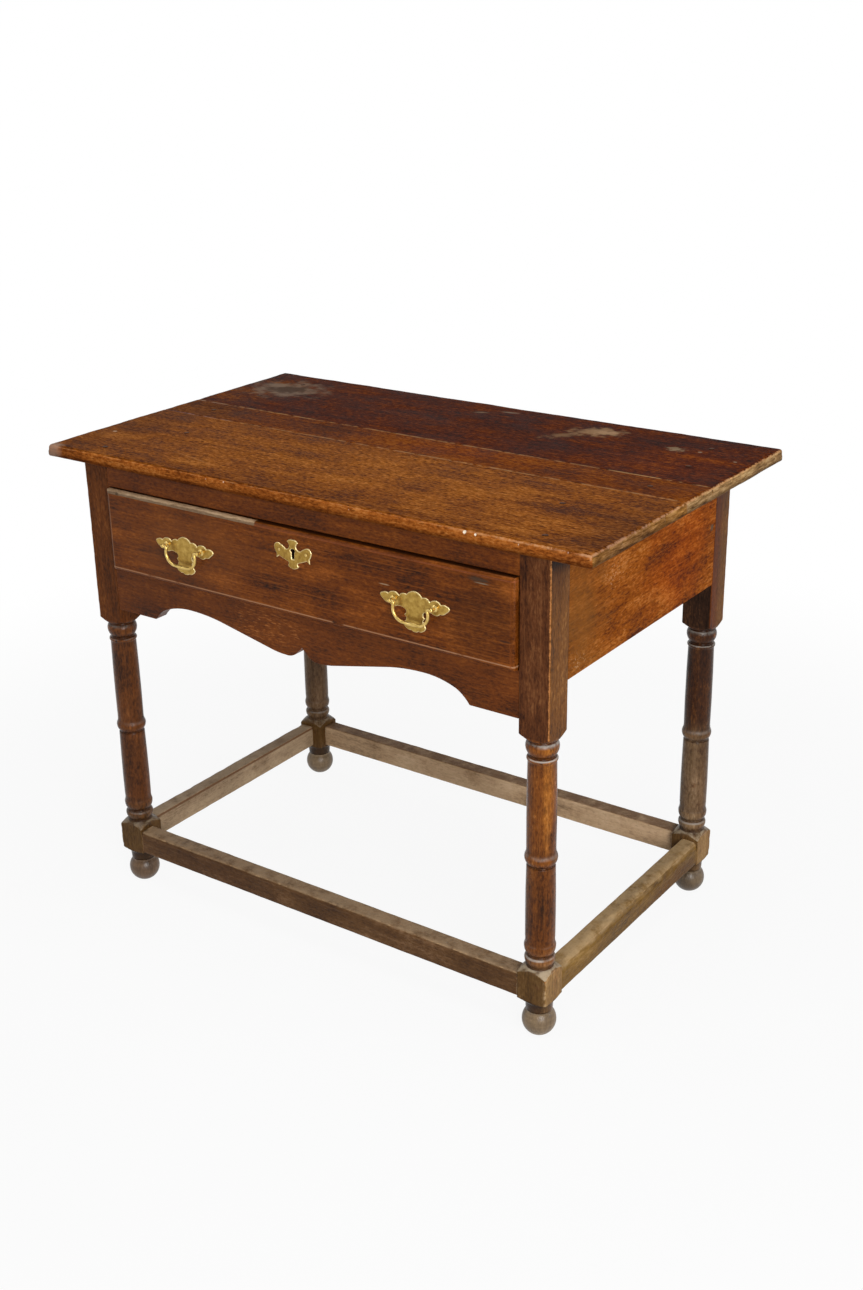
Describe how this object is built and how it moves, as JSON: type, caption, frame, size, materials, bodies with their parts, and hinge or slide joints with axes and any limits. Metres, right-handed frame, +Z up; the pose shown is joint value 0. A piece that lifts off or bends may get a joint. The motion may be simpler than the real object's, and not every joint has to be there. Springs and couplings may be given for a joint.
{
  "type": "tavern table",
  "caption": "Oak tavern table with a pegged board top, turned legs on ball feet, a box stretcher, a shaped apron and a brass-handled drawer.",
  "frame": {"origin": "on the floor, at the middle of the table's plan with its handles", "axes": "+X along the table's length, -Y out of the drawer side, +Z up"},
  "size_m": [0.914, 0.5508, 0.715],
  "materials": {
    "top_wood": "waxed golden-brown oak with worn edges",
    "frame_wood": "dark waxed reddish-brown oak",
    "worn_wood": "worn grey-brown oak",
    "inner_wood": "bare dry oak and pine",
    "patch_wood": "bare pieced-in strip",
    "brass": "rubbed old brass",
    "iron": "dark wrought iron"
  },
  "bodies": {
    "frame": {"back_left_foot": "worn_wood", "back_left_leg": "frame_wood", "back_rail": "frame_wood", "back_right_foot": "worn_wood", "back_right_leg": "frame_wood", "back_stretcher": "worn_wood", "front_left_foot": "worn_wood", "front_left_leg": "frame_wood", "front_right_foot": "worn_wood", "front_right_leg": "frame_wood", "front_stretcher": "worn_wood", "left_drawer_guide": "inner_wood", "left_drawer_kicker": "inner_wood", "left_drawer_runner": "inner_wood", "left_side_rail": "frame_wood", "left_stretcher": "worn_wood", "lower_front_rail": "frame_wood", "right_drawer_guide": "inner_wood", "right_drawer_kicker": "inner_wood", "right_drawer_runner": "inner_wood", "right_side_rail": "frame_wood", "right_stretcher": "worn_wood", "runner_nails": "iron", "top_back_board": "top_wood", "top_front_board": "top_wood", "top_middle_board": "top_wood", "top_pegs": "frame_wood", "upper_front_rail": "frame_wood"},
    "drawer": {"drawer_back": "inner_wood", "drawer_bottom_back_board": "inner_wood", "drawer_bottom_front_board": "inner_wood", "drawer_edge_patch": "patch_wood", "drawer_front": "frame_wood", "drawer_left_side": "inner_wood", "drawer_nails": "iron", "drawer_right_side": "inner_wood", "escutcheon": "brass", "escutcheon_pins": "brass", "handle_nuts": "brass", "left_handle_inner_post": "brass", "left_handle_outer_post": "brass", "left_handle_plate": "brass", "lock_case": "iron", "lock_screws": "iron", "right_handle_inner_post": "brass", "right_handle_outer_post": "brass", "right_handle_plate": "brass"},
    "left_bail": {"left_bail": "brass"},
    "right_bail": {"right_bail": "brass"},
    "lock_bolt": {"lock_bolt": "iron"}
  },
  "joints": [
    {"name": "drawer_slide", "type": "slide", "parent": "frame", "child": "drawer", "axis": [0, -1, 0], "range_m": [0, 0.34]},
    {"name": "left_bail_swing", "type": "hinge", "parent": "drawer", "child": "left_bail", "pos_m": [-0.1986, -0.27235, 0.601], "axis": [-1, 0, 0], "range_deg": [-10, 160]},
    {"name": "right_bail_swing", "type": "hinge", "parent": "drawer", "child": "right_bail", "pos_m": [0.1986, -0.27235, 0.601], "axis": [-1, 0, 0], "range_deg": [-10, 160]},
    {"name": "lock_bolt_slide", "type": "slide", "parent": "drawer", "child": "lock_bolt", "axis": [0, 0, 1], "range_m": [0, 0.009]}
  ]
}
